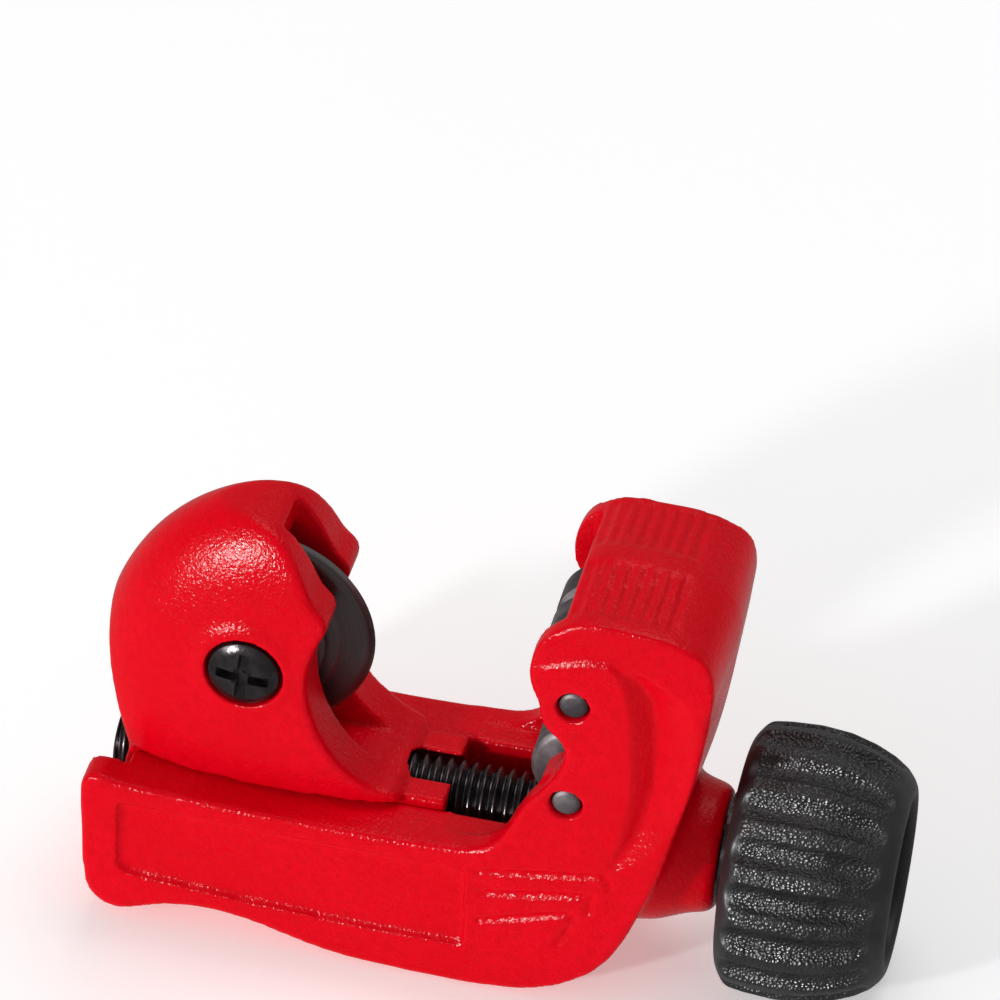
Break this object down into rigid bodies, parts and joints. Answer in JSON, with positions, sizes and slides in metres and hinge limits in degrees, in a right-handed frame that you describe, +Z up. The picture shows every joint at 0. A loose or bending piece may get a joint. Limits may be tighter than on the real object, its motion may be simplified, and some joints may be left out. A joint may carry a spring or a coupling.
{
  "type": "pipe cutter",
  "caption": "Hand screw-feed pipe cutter: a frame with a roller pair, a sliding hood that carries the cutting wheel, and a knurled knob on a feed spindle.",
  "frame": {"origin": "centre of the bounding box's underside, in the tool's middle plane", "axes": "+X along the feed spindle towards the knob, +Y across the tool along the wheel and roller axes, +Z up from the spindle towards the pipe"},
  "size_m": [0.0964, 0.0328, 0.056],
  "materials": {
    "frame": "gloss",
    "slide": "gloss",
    "roller_pin_upper": "satin",
    "roller_pin_lower": "satin",
    "upper_roller": "satin",
    "lower_roller": "satin",
    "wheel_bush": "satin",
    "wheel_screw": "satin",
    "wheel_screw_washer": "satin",
    "cutter_wheel": "satin",
    "spindle": "satin",
    "knob": "grained",
    "knob_screw": "satin",
    "knob_washer": "satin",
    "outer_thrust_washer": "satin",
    "inner_thrust_washer": "satin",
    "retaining_ring": "satin"
  },
  "bodies": {
    "frame": {"frame": "frame", "roller_pin_upper": "roller_pin_upper", "roller_pin_lower": "roller_pin_lower"},
    "upper_roller": {"upper_roller": "upper_roller"},
    "lower_roller": {"lower_roller": "lower_roller"},
    "jaw": {"slide": "slide", "wheel_bush": "wheel_bush", "wheel_screw": "wheel_screw", "wheel_screw_washer": "wheel_screw_washer"},
    "wheel": {"cutter_wheel": "cutter_wheel"},
    "spindle": {"spindle": "spindle", "knob": "knob", "knob_screw": "knob_screw", "knob_washer": "knob_washer", "outer_thrust_washer": "outer_thrust_washer", "inner_thrust_washer": "inner_thrust_washer", "retaining_ring": "retaining_ring"}
  },
  "joints": [
    {"name": "spindle_turn", "type": "hinge", "parent": "frame", "child": "spindle", "pos_m": [0, 0, 0.0164], "axis": [-1, 0, 0], "range_deg": [0, 3965]},
    {"name": "jaw_slide", "type": "slide", "parent": "frame", "child": "jaw", "axis": [1, 0, 0], "range_m": [0, 0.0165]},
    {"name": "wheel_turn", "type": "hinge", "parent": "jaw", "child": "wheel", "pos_m": [-0.0298, 0, 0.0371], "axis": [0, 1, 0], "continuous": true},
    {"name": "upper_roller_turn", "type": "hinge", "parent": "frame", "child": "upper_roller", "pos_m": [0.0099, 0, 0.0442], "axis": [0, 1, 0], "continuous": true},
    {"name": "lower_roller_turn", "type": "hinge", "parent": "frame", "child": "lower_roller", "pos_m": [0.0099, 0, 0.03], "axis": [0, 1, 0], "continuous": true}
  ],
  "couplings": [
    {"joint": "spindle_turn", "follows": "jaw_slide", "rad_per_m": 4188.8}
  ]
}
